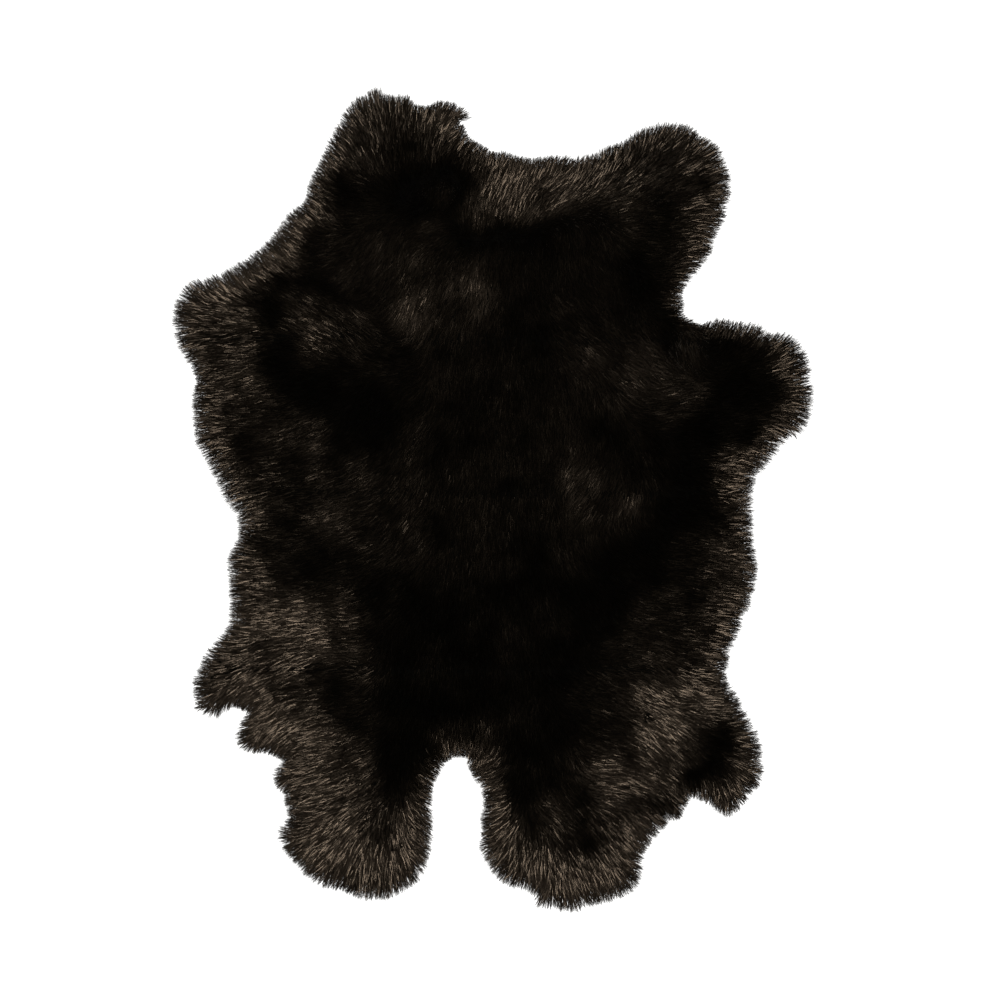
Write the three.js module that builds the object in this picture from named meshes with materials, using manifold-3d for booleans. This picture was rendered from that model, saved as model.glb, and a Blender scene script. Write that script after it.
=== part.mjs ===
// A rabbit skin pelt, lying flat with its fur up.
// Millimetres and degrees. +Z is up, +Y runs from the tail to the neck, and the origin is
// on the floor under the middle of the pelt. A heading of 0 points along +X, 90 along +Y.
import * as THREE from "three";
import { mergeVertices } from "three/addons/utils/BufferGeometryUtils.js";
import Module from "manifold-3d";

// Driving sizes: the leather, the fur over its cut edge, the top of the even pile over the
// floor, and how far in from the edge the pile reaches it
const LEATHER_THICK = 1.2;
const EDGE_PILE = 1.3;
const PILE_HIGH = 15;
const ROLL_WIDE = 30;

// Small tufts all over the pile
const TUFT_HIGH = 1.3;
const TUFT_PITCH = 21;

// Locks of hair at the rim: each starts LOCK_ROOT inside the leather's edge, a little under
// the pile, is widest just past the edge, and ends on the floor LOCK_PAST beyond the rim
const LOCKS = 156;
const LOCK_ROOT = 11;
const LOCK_SUNK = 0.3;
const LOCK_DEEP = 5;
const LOCK_WIDE = 10.5;
const LOCK_HIGH = 5.5;
const LOCK_PAST = 3;
const LOCK_REST = 0.1;
const LOCK_SIZES = { least: 0.7, most: 1.3 };
const LOCK_SHAPE = { rootWidth: 0.7, widestAt: 0.25 };
const LOCK_STRAY = 0.6;
const SPLAY = 0.4;
const FULL_HANG = 5;
const SEED = 20;

// How finely the pile and the rim are stepped, and how deep the block under the pile goes
const GRID_STEP = 8;
const RIM_STEP = 6;
const BLOCK_DEEP = 400;

// The middle of the rim's table, which is moved to the origin
const RIM_CENTRE = { x: 0.1, y: -0.12 };

const FUR_COLOUR = 0x1c1814;

// The fur's outline, clockwise from the neck: a row for each stretch of the rim.
// hang is how far the fur hangs past the leather, comb is the heading of its hair, and
// end says whether the stretch ends in a cut corner or runs on round.
const RIM = [
  { stretch: "left neck flap", hang: 5, comb: 112, end: "corner",
    through: [
      [-85, 170.5], [-79.5, 181.5], [-73.5, 191.5], [-68, 199.5], [-57, 203.5], [-46, 202],
      [-40.5, 200.5],
    ] },
  { stretch: "neck notch", hang: 2, comb: 80, end: "round",
    through: [[-38.5, 195], [-34, 195.5]] },
  { stretch: "small neck flap", hang: 3, comb: 62, end: "corner",
    through: [[-27.5, 199], [-17, 196.5], [-13.5, 193.5]] },
  { stretch: "nape", hang: 3.5, comb: 62, end: "round",
    through: [
      [-16.5, 188], [-13, 181.5], [-5, 176], [7, 172.5], [19, 169.5], [32, 171],
      [46.5, 170.5], [57, 174.5], [70, 181],
    ] },
  { stretch: "right neck flap", hang: 5, comb: 45, end: "round",
    through: [[79, 187], [94, 187], [105, 182], [113, 173], [117, 160.5]] },
  { stretch: "right neck side", hang: 4, comb: 0, end: "round",
    through: [[115, 149], [110, 134.5], [104, 120.5], [96.5, 109.5]] },
  { stretch: "right armpit", hang: 2.5, comb: 20, end: "round",
    through: [[92, 100.5], [95, 93.5], [104, 89.5]] },
  { stretch: "right fore-leg", hang: 6, comb: 15, end: "round",
    through: [
      [119, 90], [136.5, 85.5], [149, 80.5], [154.5, 72.5], [157.5, 60.5], [158.5, 50.5],
      [155, 38], [144, 29.5],
    ] },
  { stretch: "right flank", hang: 5, comb: -12, end: "round",
    through: [
      [134, 19.5], [128, 8], [127.5, -9.5], [130.5, -34.5], [128, -48], [122, -64.5],
      [115.5, -77],
    ] },
  { stretch: "right hind flap", hang: 4.5, comb: -22, end: "corner",
    through: [[117, -92], [123, -105.5], [129, -114.5], [132.5, -129.5], [134, -141]] },
  { stretch: "right hind flap tip", hang: 3, comb: -65, end: "round",
    through: [[128.5, -142], [125, -150], [119, -155.5], [112, -151], [106.5, -148]] },
  { stretch: "right hind notch", hang: 2, comb: -60, end: "corner",
    through: [[97, -146], [94, -149.5], [94, -155.5]] },
  { stretch: "right foot outside", hang: 5.5, comb: -48, end: "round",
    through: [[85, -162.5], [79, -170.5], [74, -178.5], [74, -187], [69, -194.5]] },
  { stretch: "right foot tip", hang: 5.5, comb: -88, end: "round",
    through: [[57, -199.5], [46.5, -201.5], [41.5, -203.5], [31.5, -202.5], [24.5, -200], [19.5, -193.5]] },
  { stretch: "right foot inside", hang: 4.5, comb: -118, end: "round",
    through: [[10, -190.5], [2, -183.5], [-3.5, -174.5], [-5, -168.5], [-3.5, -157], [-2.5, -147.5]] },
  { stretch: "tail gap", hang: 3.5, comb: -92, end: "round",
    through: [[-7, -137.5], [-11, -129.5], [-18.5, -127], [-24.5, -129], [-28, -135.5]] },
  { stretch: "left foot inside", hang: 4, comb: -68, end: "round",
    through: [[-30.5, -142], [-31.5, -159.5], [-32.5, -172], [-35.5, -183.5]] },
  { stretch: "left foot tip", hang: 5.5, comb: -96, end: "round",
    through: [[-42.5, -192], [-52, -197.5], [-63.5, -198.5], [-73.5, -194.5], [-88, -189.5]] },
  { stretch: "left foot outside", hang: 4.5, comb: -140, end: "corner",
    through: [
      [-93.5, -183.5], [-100, -178.5], [-104.5, -167], [-99.5, -159.5], [-102.5, -152], [-102, -146],
      [-108.5, -143],
    ] },
  { stretch: "left hind notch", hang: 1.5, comb: -150, end: "corner",
    through: [[-106, -137], [-101.5, -129.5]] },
  { stretch: "left hind lower flap", hang: 2.5, comb: -145, end: "corner",
    through: [[-110, -125.5], [-120, -124.5], [-125, -122.5]] },
  { stretch: "left hind lower flap side", hang: 2, comb: -155, end: "corner",
    through: [[-124.5, -114.5], [-120, -105.5]] },
  { stretch: "left hind upper flap foot", hang: 2.5, comb: -140, end: "corner",
    through: [[-129.5, -101], [-138, -104], [-143.5, -105.5]] },
  { stretch: "left hind upper flap", hang: 5, comb: -162, end: "round",
    through: [[-147, -94.5], [-145, -83.5], [-137.5, -73.5], [-130, -64.5]] },
  { stretch: "left flank", hang: 5, comb: -168, end: "round",
    through: [
      [-128, -52], [-129.5, -37], [-128, -24.5], [-123, -9.5], [-129.5, 3], [-138.5, 20.5],
      [-146, 30.5], [-147.5, 45.5], [-148.5, 65],
    ] },
  { stretch: "left fore-leg", hang: 6, comb: 175, end: "round",
    through: [[-155.5, 79.5], [-158, 90.5], [-155.5, 100.5], [-150, 107.5]] },
  { stretch: "left shoulder", hang: 4.5, comb: 132, end: "round",
    through: [
      [-138.5, 110], [-126, 115.5], [-115, 123], [-106, 133], [-101, 141.5], [-93.5, 148],
      [-90, 159.5],
    ] },
];

// Hollows and swells of the pile. long and wide are the half sizes of each, turn is the
// heading of its long side, and rise is how far it stands above the even pile.
const SWELLS = [
  { at: "nape", x: 17, y: 156, long: 30, wide: 10, turn: -5, rise: 2.6 },
  { at: "left shoulder", x: -54, y: 156, long: 32, wide: 22, turn: 130, rise: 2.2 },
  { at: "right neck", x: 94, y: 150, long: 26, wide: 14, turn: 70, rise: 2.2 },
  { at: "left fore-leg hollow", x: -111, y: 91, long: 18, wide: 14, turn: 0, rise: -4.5 },
  { at: "left breast hollow", x: -84, y: 50, long: 30, wide: 20, turn: -20, rise: -4 },
  { at: "left flank", x: -124, y: 34, long: 26, wide: 12, turn: 75, rise: 1.8 },
  { at: "right fore-leg hollow", x: 117, y: 36, long: 42, wide: 16, turn: 100, rise: -4.5 },
  { at: "right loin hollow", x: 68, y: -30, long: 22, wide: 14, turn: 60, rise: -3.2 },
  { at: "loin hollow", x: 34, y: -45, long: 32, wide: 10, turn: 0, rise: -3 },
  { at: "right flank", x: 115, y: -36, long: 24, wide: 9, turn: 95, rise: 2 },
  { at: "left thigh hollow", x: -43, y: -108, long: 58, wide: 12, turn: 90, rise: -5.5 },
  { at: "rump hollow", x: -5, y: -95, long: 28, wide: 10, turn: 85, rise: -3.4 },
  { at: "right thigh hollow", x: 17, y: -142, long: 26, wide: 10, turn: 105, rise: -4.5 },
  { at: "left belly", x: -101, y: -90, long: 44, wide: 20, turn: 70, rise: 3.2 },
  { at: "right belly", x: 88, y: -102, long: 36, wide: 16, turn: 105, rise: 3.2 },
  { at: "left hind flap hollow", x: -124, y: -84, long: 16, wide: 7, turn: 60, rise: -2.4 },
  { at: "right hind flap hollow", x: 111, y: -122, long: 18, wide: 7, turn: 100, rise: -3.4 },
  { at: "left foot", x: -84, y: -163, long: 26, wide: 16, turn: 100, rise: 2.8 },
  { at: "right foot hollow", x: 50, y: -165, long: 18, wide: 8, turn: 100, rise: -3 },
  { at: "right foot outside", x: 65, y: -175, long: 17, wide: 9, turn: 70, rise: 2.2 },
  { at: "right foot inside", x: 19, y: -183, long: 15, wide: 10, turn: 100, rise: 2.2 },
  { at: "tuft by the left fore-leg", x: -86, y: 83, long: 12, wide: 7, turn: 135, rise: 2.6 },
  { at: "tuft on the neck", x: -42, y: 97, long: 9, wide: 6, turn: 135, rise: 2 },
  { at: "tuft under the nape", x: -13, y: 115, long: 14, wide: 8, turn: 60, rise: 2 },
  { at: "tuft on the back", x: 60, y: 6, long: 12, wide: 8, turn: 0, rise: 2.4 },
  { at: "tuft on the right shoulder", x: 78, y: 69, long: 9, wide: 6, turn: 135, rise: 2 },
  { at: "tuft on the left ribs", x: -88, y: 27, long: 10, wide: 7, turn: 20, rise: 2 },
];

// An even draw of numbers from 0 to 1, the same every time
function drawFrom(seed) {
  let state = seed;
  return () => {
    state = (Math.imul(state, 1664525) + 1013904223) >>> 0;
    return state / 4294967296;
  };
}

function heading(degrees) {
  const angle = THREE.MathUtils.degToRad(degrees);
  return new THREE.Vector2(Math.cos(angle), Math.sin(angle));
}

function turned(way, angle) {
  return way.clone().rotateAround(new THREE.Vector2(), angle);
}

// Each landmark of the rim as a place with its hang, its comb and whether it is a corner
function rimLandmarks() {
  return RIM.flatMap(({ hang, comb, end, through }) => through.map(([x, y], k) => ({
    place: new THREE.Vector2(x - RIM_CENTRE.x, y - RIM_CENTRE.y),
    hang,
    comb: heading(comb),
    corner: end === "corner" && k === through.length - 1,
  })));
}

// The run of landmarks from one cut corner to the next
function rimRuns(landmarks) {
  const first = landmarks.findIndex((mark) => mark.corner);
  const fromCorner = [...landmarks.slice(first), ...landmarks.slice(0, first + 1)];
  const runs = [];
  let run = [fromCorner[0]];
  for (const mark of fromCorner.slice(1)) {
    run.push(mark);
    if (mark.corner) {
      runs.push(run);
      run = [mark];
    }
  }
  return runs;
}

// Even steps along a smooth curve through a run, without the last point
function stepRun(run) {
  const places = run.map(({ place }) => new THREE.Vector3(place.x, place.y, 0));
  const curve = new THREE.CatmullRomCurve3(places, false, "centripetal");
  const steps = Math.max(2, Math.round(curve.getLength() / RIM_STEP));
  return Array.from({ length: steps }, (_, k) => {
    const t = curve.getUtoTmapping(k / steps);
    const at = t * (run.length - 1);
    const before = run[Math.floor(at)];
    const after = run[Math.min(Math.floor(at) + 1, run.length - 1)];
    const point = curve.getPoint(t);
    return {
      place: new THREE.Vector2(point.x, point.y),
      hang: THREE.MathUtils.lerp(before.hang, after.hang, at % 1),
      comb: before.comb.clone().lerp(after.comb, at % 1).normalize(),
    };
  });
}

// The way out of the pelt at each step, square to its neighbours
function addOutward(steps) {
  return steps.map((step, k) => {
    const before = steps[(k + steps.length - 1) % steps.length].place;
    const after = steps[(k + 1) % steps.length].place;
    const along = after.clone().sub(before).normalize();
    return { ...step, outward: new THREE.Vector2(-along.y, along.x) };
  });
}

const rim = addOutward(rimRuns(rimLandmarks()).flatMap(stepRun));

// The leather's cut edge, as far inside the rim as the fur hangs past it
const leatherEdge = rim.map(({ place, outward, hang }) => (
  place.clone().addScaledVector(outward, -hang)
));

function distanceToEdge(x, y) {
  const point = new THREE.Vector3(x, y, 0);
  const nearest = new THREE.Vector3();
  const side = new THREE.Line3();
  let least = Infinity;
  leatherEdge.forEach((start, k) => {
    const end = leatherEdge[(k + 1) % leatherEdge.length];
    side.start.set(start.x, start.y, 0);
    side.end.set(end.x, end.y, 0);
    side.closestPointToPoint(point, true, nearest);
    least = Math.min(least, nearest.distanceTo(point));
  });
  return least;
}

function swellAt(x, y) {
  return SWELLS.reduce((sum, swell) => {
    const turn = THREE.MathUtils.degToRad(swell.turn);
    const offset = turned(new THREE.Vector2(x - swell.x, y - swell.y), -turn);
    const away = (offset.x / swell.long) ** 2 + (offset.y / swell.wide) ** 2;
    return sum + swell.rise * Math.exp(-away);
  }, 0);
}

// Small uneven tufts: two crossed waves, each bent by the other
function tuftAt(x, y) {
  const turn = (2 * Math.PI) / TUFT_PITCH;
  const across = Math.sin(turn * x + 2.3 * Math.sin(0.31 * turn * y + 0.9));
  const along = Math.sin(0.6 * turn * y + 2 * Math.sin(0.47 * turn * x + 1));
  return TUFT_HIGH * across * along;
}

// The top of the fur: low at the rim, rolling up to the even pile with its swells
function pileHeight(x, y) {
  const inward = Math.min(distanceToEdge(x, y) / ROLL_WIDE, 1);
  const roll = Math.sin(inward * Math.PI / 2);
  const edge = LEATHER_THICK + EDGE_PILE;
  return edge + roll * (PILE_HIGH - edge + swellAt(x, y) + tuftAt(x, y));
}

const { Manifold, Mesh } = await startManifold();

async function startManifold() {
  const wasm = await Module();
  wasm.setup();
  return wasm;
}

function toSolid(geometry) {
  geometry.deleteAttribute("normal");
  geometry.deleteAttribute("uv");
  const merged = mergeVertices(geometry, 1e-4);
  return new Manifold(new Mesh({
    numProp: 3,
    vertProperties: Float32Array.from(merged.attributes.position.array),
    triVerts: Uint32Array.from(merged.index.array),
  }));
}

function toGeometry(solid) {
  const { vertProperties, triVerts } = solid.getMesh();
  const geometry = new THREE.BufferGeometry();
  geometry.setAttribute("position", new THREE.BufferAttribute(vertProperties, 3));
  geometry.setIndex(new THREE.BufferAttribute(triVerts, 1));
  geometry.computeVertexNormals();
  return geometry;
}

// A flat plate with the given outline
function plate(outline, low, high) {
  const geometry = new THREE.ExtrudeGeometry(new THREE.Shape(outline), {
    depth: high - low,
    bevelEnabled: false,
  });
  geometry.translate(0, 0, low);
  return toSolid(geometry);
}

// A net of even triangles over the pelt, each point raised to the pile
function pileNet(box) {
  const rowStep = GRID_STEP * Math.sqrt(0.75);
  const size = box.getSize(new THREE.Vector2());
  const across = Math.ceil(size.x / GRID_STEP) + 1;
  const rows = Math.ceil(size.y / rowStep) + 1;
  const points = [];
  for (let row = 0; row < rows; row += 1) {
    for (let k = 0; k < across; k += 1) {
      const x = box.min.x + (k + (row % 2) / 2) * GRID_STEP;
      const y = box.min.y + row * rowStep;
      points.push(x, y, pileHeight(x, y));
    }
  }
  return { points, across, rows };
}

// The net's triangles, turned in every other row
function netFaces(across, rows) {
  const faces = [];
  for (let row = 0; row < rows - 1; row += 1) {
    for (let k = 0; k < across - 1; k += 1) {
      const near = row * across + k;
      const far = near + across;
      if (row % 2) {
        faces.push(near, far + 1, far, near, near + 1, far + 1);
      } else {
        faces.push(near, near + 1, far, near + 1, far + 1, far);
      }
    }
  }
  return faces;
}

// The net's border, anticlockwise
function netBorder(across, rows) {
  const last = across * rows - 1;
  const steps = (count, start, step) => Array.from({ length: count }, (_, k) => start + k * step);
  return [
    ...steps(across - 1, 0, 1),
    ...steps(rows - 1, across - 1, across),
    ...steps(across - 1, last, -1),
    ...steps(rows - 1, last - across + 1, -across),
  ];
}

// A wide block under the pile, closed to one point far below
function pileBlock() {
  const box = new THREE.Box2().setFromPoints(leatherEdge).expandByScalar(GRID_STEP);
  const { points, across, rows } = pileNet(box);
  const apex = points.length / 3;
  points.push(0, 0, -BLOCK_DEEP);
  const border = netBorder(across, rows);
  const sides = border.flatMap((point, k) => [border[(k + 1) % border.length], point, apex]);
  const geometry = new THREE.BufferGeometry();
  geometry.setAttribute("position", new THREE.Float32BufferAttribute(points, 3));
  geometry.setIndex([...netFaces(across, rows), ...sides]);
  return toSolid(geometry);
}

// The heading of a lock: the comb's, splayed outwards and a little astray
function lockHeading({ comb, outward }, draw) {
  const lean = comb.clone().lerp(outward, SPLAY).normalize();
  return turned(lean, LOCK_STRAY * (draw() - 0.5));
}

// One lock: a three-sided taper from inside the fur, over its edge and down to the floor.
// It is short where the hair runs along the rim, and slim where the rim is cut close.
function lock(step, draw) {
  const lean = lockHeading(step, draw);
  const outwards = Math.max(0.3, lean.dot(step.outward));
  const size = THREE.MathUtils.lerp(LOCK_SIZES.least, LOCK_SIZES.most, draw());
  const slim = THREE.MathUtils.clamp(step.hang / FULL_HANG, 0.5, 1);
  const reach = outwards * (step.hang + LOCK_PAST * size);
  const edge = step.place.clone().addScaledVector(step.outward, -step.hang);
  const root = edge.clone().addScaledVector(lean, -LOCK_ROOT * outwards);
  const middle = edge.clone().addScaledVector(lean, LOCK_SHAPE.widestAt * reach);
  const tipLean = turned(lean, LOCK_STRAY * (draw() - 0.5));
  const tip = middle.clone().addScaledVector(tipLean, (1 - LOCK_SHAPE.widestAt) * reach);
  const rootHigh = pileHeight(root.x, root.y) - LOCK_SUNK;
  const rootLow = Math.max(rootHigh - LOCK_DEEP, 1);
  const wide = LOCK_WIDE * slim * size;
  return toSolid(taper([
    { at: root, lean, low: rootLow, high: rootHigh, wide: LOCK_SHAPE.rootWidth * wide },
    { at: middle, lean, low: LOCK_REST, high: LOCK_HIGH * slim * size, wide },
  ], tip));
}

// A closed taper through two three-cornered rings to a tip on the floor
function taper(rings, tip) {
  const points = rings.flatMap(({ at, lean, low, high, wide }) => {
    const side = new THREE.Vector2(-lean.y, lean.x).multiplyScalar(wide / 2);
    const right = [at.x - side.x, at.y - side.y, low];
    const left = [at.x + side.x, at.y + side.y, low];
    return [...right, ...left, at.x, at.y, high];
  });
  const geometry = new THREE.BufferGeometry();
  const positions = new THREE.Float32BufferAttribute([...points, tip.x, tip.y, LOCK_REST], 3);
  geometry.setAttribute("position", positions);
  geometry.setIndex([
    0, 2, 1,
    0, 1, 3, 1, 4, 3,
    1, 2, 4, 2, 5, 4,
    2, 0, 5, 0, 3, 5,
    3, 4, 6, 4, 5, 6, 5, 3, 6,
  ]);
  return geometry;
}

// Locks at even places round the rim, each a little off its place
function rimLocks() {
  const draw = drawFrom(SEED);
  return Array.from({ length: LOCKS }, (_, k) => {
    const at = ((k + 0.5 * draw()) / LOCKS) * rim.length;
    return lock(rim[Math.floor(at) % rim.length], draw);
  });
}

function peltSolid() {
  const slab = pileBlock().intersect(plate(leatherEdge, 0, 3 * PILE_HIGH));
  return Manifold.union([slab, ...rimLocks()]);
}

const pelt = new THREE.Mesh(
  toGeometry(peltSolid()),
  new THREE.MeshStandardMaterial({ color: FUR_COLOUR, roughness: 0.85, metalness: 0 }),
);
pelt.name = "pelt";

const rabbitPelt = new THREE.Group();
rabbitPelt.add(pelt);

export default rabbitPelt;
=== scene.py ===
# %% [markdown]
# # A rabbit skin pelt, in Blender
# The real thing is one thin tanned skin with its fur still on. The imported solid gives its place
# and its size: a flat underside, a lumpy pile and a rim of locks. This lesson keeps that outline
# and that pile, and grows real hair over them. All is in metres, and small lengths are so many MM.

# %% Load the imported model
import math

import bmesh
import bpy
import numpy as np
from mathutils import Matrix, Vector, noise
from mathutils.bvhtree import BVHTree
from mathutils.geometry import delaunay_2d_cdt


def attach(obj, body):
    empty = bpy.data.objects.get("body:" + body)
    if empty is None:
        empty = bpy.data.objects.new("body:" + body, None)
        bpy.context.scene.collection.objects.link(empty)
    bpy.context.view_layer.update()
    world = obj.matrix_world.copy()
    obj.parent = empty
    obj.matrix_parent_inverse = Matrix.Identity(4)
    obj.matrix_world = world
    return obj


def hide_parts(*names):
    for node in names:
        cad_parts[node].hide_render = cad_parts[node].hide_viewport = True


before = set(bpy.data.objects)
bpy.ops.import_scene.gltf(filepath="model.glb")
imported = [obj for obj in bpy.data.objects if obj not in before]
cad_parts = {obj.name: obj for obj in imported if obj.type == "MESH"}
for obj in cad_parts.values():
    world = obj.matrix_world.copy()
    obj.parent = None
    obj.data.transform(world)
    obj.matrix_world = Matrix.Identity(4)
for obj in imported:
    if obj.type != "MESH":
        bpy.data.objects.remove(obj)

MM = 0.001
SAME_POINT, NOT_ZERO = 1e-6, 1e-9
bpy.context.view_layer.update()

# %% [markdown]
# ## The studio
# Such a skin is photographed lying on a white table, from straight above. A camera that looks
# down -Z needs no turn, and a long lens keeps the rim from leaning. Hair shines only where it
# mirrors a lamp, so the light is a wide soft box overhead, above the camera: hair that lies
# down catches it, and hair that stands up stays black.

# %% Camera and lamp
VIEW_WIDE = 0.5
LENS, SENSOR = 85, 36
VIEW_X, VIEW_Y, VIEW_Z = 0.0039, 0.00062, 0.008
LAMP_HEIGHT, LAMP_SIDE, LAMP_WATTS = 2.0, 1.15, 58

camera_data = bpy.data.cameras.new("camera")
camera_data.lens, camera_data.sensor_width = LENS, SENSOR
camera = bpy.data.objects.new("camera", camera_data)
camera.location = (VIEW_X, VIEW_Y, VIEW_Z + VIEW_WIDE * LENS / SENSOR)
bpy.context.scene.collection.objects.link(camera)
bpy.context.scene.camera = camera
bpy.context.scene.view_settings.view_transform = "Standard"


def softbox(name, place, side, watts):
    """A square lamp that faces the middle of the table."""
    lamp = bpy.data.lights.new(name, "AREA")
    lamp.shape, lamp.size, lamp.energy = "SQUARE", side, watts
    holder = bpy.data.objects.new(name, lamp)
    holder.location = place
    holder.rotation_euler = Vector(place).to_track_quat("Z", "Y").to_euler()
    bpy.context.scene.collection.objects.link(holder)
    return holder


lamp_over = softbox("box_overhead", (0.0, 0.0, LAMP_HEIGHT), LAMP_SIDE, LAMP_WATTS)
print("camera at", round(camera.location.z, 2), "m, lamp at", round(lamp_over.location.z, 2), "m")

# %% [markdown]
# ## Node maths written as Python
# Both materials and hair are node trees. One small class wraps a socket, so that
# 1 - mask or a * b adds the Math nodes, and one method adds any other node.

# %% A wrapped socket
def set_stops(ramp, stops):
    """Gives a colour ramp its stops, as (place, colour)."""
    while len(ramp.elements) < len(stops):
        ramp.elements.new(0.5)
    for element, (place, colour) in zip(ramp.elements, stops):
        element.position, element.color = place, (*colour, 1)


class Wire:
    """A socket of a node tree, which sums and products can be written with."""

    def __init__(self, tree, socket=None):
        self.tree, self.socket = tree, socket

    def node(self, kind, settings=None, values=None, out=0):
        """Adds a node: its type, its settings, then the values or wires of its sockets."""
        made = self.tree.nodes.new(kind)
        for name, value in (settings or {}).items():
            if name == "stops":
                set_stops(made.color_ramp, value)
            else:
                setattr(made, name, value)
        for name, value in (values or {}).items():
            self.plug(made.inputs[name], value)
        return Wire(self.tree, made.outputs[out])

    def plug(self, socket, value):
        """Sets a socket to a number or links it to a wire."""
        if isinstance(value, Wire):
            self.tree.links.new(value.socket, socket)
        else:
            socket.default_value = value

    def beside(self, out):
        """Another output of the same node."""
        return Wire(self.tree, self.socket.node.outputs[out])

    def math(self, operation, *others):
        """A Math node with this wire first."""
        return self.node("ShaderNodeMath", {"operation": operation}, dict(enumerate((self, *others))))

    def vector(self, operation, *others):
        """A Vector Math node with this wire first."""
        inputs = dict(enumerate((self, *others)))
        return self.node("ShaderNodeVectorMath", {"operation": operation}, inputs)

    def scaled(self, amount):
        """This vector times a number."""
        inputs = {"Vector": self, "Scale": amount}
        return self.node("ShaderNodeVectorMath", {"operation": "SCALE"}, inputs)

    def ramp(self, stops):
        """The colour that a ramp gives for this number."""
        return self.node("ShaderNodeValToRGB", {"stops": stops}, {0: self})

    def times_colour(self, other):
        """Two colours multiplied, since a Math node would turn them grey."""
        settings = {"data_type": "RGBA", "blend_type": "MULTIPLY"}
        return self.node("ShaderNodeMix", settings, {0: 1.0, 6: self, 7: other}, out=2)

    def split(self):
        """The three numbers of a vector."""
        x = self.node("ShaderNodeSeparateXYZ", values={0: self})
        return x, x.beside(1), x.beside(2)

    def join(self, x, y, z):
        """A vector of three numbers."""
        return self.node("ShaderNodeCombineXYZ", values={0: x, 1: y, 2: z})

    def __add__(self, other):
        return self.math("ADD", other)

    def __sub__(self, other):
        return self.math("SUBTRACT", other)

    def __rsub__(self, other):
        return self.node("ShaderNodeMath", {"operation": "SUBTRACT"}, {0: other, 1: self})

    def __mul__(self, other):
        return self.math("MULTIPLY", other)

    def __truediv__(self, other):
        return self.math("DIVIDE", other)

    def __rtruediv__(self, other):
        return self.node("ShaderNodeMath", {"operation": "DIVIDE"}, {0: other, 1: self})

    def __pow__(self, other):
        return self.math("POWER", other)

    __radd__ = __add__
    __rmul__ = __mul__


def new_material(name, **constants):
    """A material with its plain values set, its tree's first wire and its main shader."""
    material = bpy.data.materials.new(name)
    material.use_nodes = True
    shader = material.node_tree.nodes["Principled BSDF"]
    for socket, value in constants.items():
        shader.inputs[socket.replace("_", " ")].default_value = value
    return material, Wire(material.node_tree), shader


# %% [markdown]
# ## The table and the room
# The ground in such a picture is pure white. A big pale plane does for it, a little rough, with a
# weak glow so that no corner of the picture falls under white. The room is dim as a lamp but pale
# to look at, so that the fur keeps its blacks and a low view has a pale background.

# %% Table and room
TABLE_SIDE, TABLE_GLOW = 12, 0.6

table_mesh = bpy.data.meshes.new("table")
half = TABLE_SIDE / 2
corners = [(-half, -half, 0), (half, -half, 0), (half, half, 0), (-half, half, 0)]
table_mesh.from_pydata(corners, [], [(0, 1, 2, 3)])
table = bpy.data.objects.new("table", table_mesh)
bpy.context.scene.collection.objects.link(table)
white_top, wire, shader = new_material("white_table", Roughness=0.9, Emission_Strength=TABLE_GLOW)
paper = wire.node("ShaderNodeTexNoise", values={"Scale": 3.0, "Detail": 2.0})
wire.plug(shader.inputs["Base Color"], paper.ramp([(0.3, (0.88, 0.88, 0.87)), (0.7, (0.93, 0.93, 0.92))]))
shader.inputs["Emission Color"].default_value = (1, 1, 1, 1)
table_mesh.materials.append(white_top)

ROOM_LIGHT, ROOM_LOOK = 0.015, 0.93
LAMP_TINT, LOOK_TINT = (1, 0.86, 0.72, 1), (1, 1, 1, 1)
room = bpy.data.worlds.new("room")
room.use_nodes = True
bpy.context.scene.world = room
wire = Wire(room.node_tree)
seen = wire.node("ShaderNodeLightPath")
background = room.node_tree.nodes["Background"]
room_tint = wire.node("ShaderNodeMix", {"data_type": "RGBA"}, {0: seen, 6: LAMP_TINT, 7: LOOK_TINT}, out=2)
wire.plug(background.inputs["Color"], room_tint)
wire.plug(background.inputs["Strength"], seen * (ROOM_LOOK - ROOM_LIGHT) + ROOM_LIGHT)
print("table:", TABLE_SIDE, "m square")

# %% [markdown]
# ## The leather's outline
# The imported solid's flat underside is the leather, so its rim is the outline to cut. A copy of
# the solid is merged, and the edges that only one flat face uses are that rim. It is walked once
# round and stepped finer, with a little raggedness, since a skin is cut with a knife by hand.

# %% Read the outline off the solid
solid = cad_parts["pelt"]
body = bmesh.new()
body.from_mesh(solid.data)
bmesh.ops.remove_doubles(body, verts=body.verts, dist=SAME_POINT)
body.normal_update()
above = BVHTree.FromBMesh(body)

ON_TABLE = 0.05 * MM
FACES_DOWN = -0.9


def lies_on_table(face):
    """Whether a face is part of the flat underside."""
    return face.normal.z < FACES_DOWN and all(v.co.z < ON_TABLE for v in face.verts)


flat = [face for face in body.faces if lies_on_table(face)]
flat_set = set(flat)
flat_edges = [edge for face in flat for edge in face.edges]
rim_edges = [edge for edge in flat_edges if sum(f in flat_set for f in edge.link_faces) == 1]


def walk_loops(edges):
    """The closed loops that these edges make, as lists of points."""
    ways = {}
    for edge in edges:
        a, b = edge.verts
        ways.setdefault(a, []).append(b)
        ways.setdefault(b, []).append(a)
    loops, left = [], set(ways)
    while left:
        start = min(left, key=lambda v: v.index)
        loop, last, here = [], None, start
        while here in left:
            left.discard(here)
            loop.append(here.co.xy.copy())
            onward = [v for v in ways[here] if v is not last and v in left]
            last, here = here, onward[0] if onward else start
        loops.append(loop)
    return loops


def signed_area(loop):
    """The area inside a loop, positive if it runs anticlockwise."""
    return sum(a.x * b.y - b.x * a.y for a, b in zip(loop, loop[1:] + loop[:1])) / 2


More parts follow.
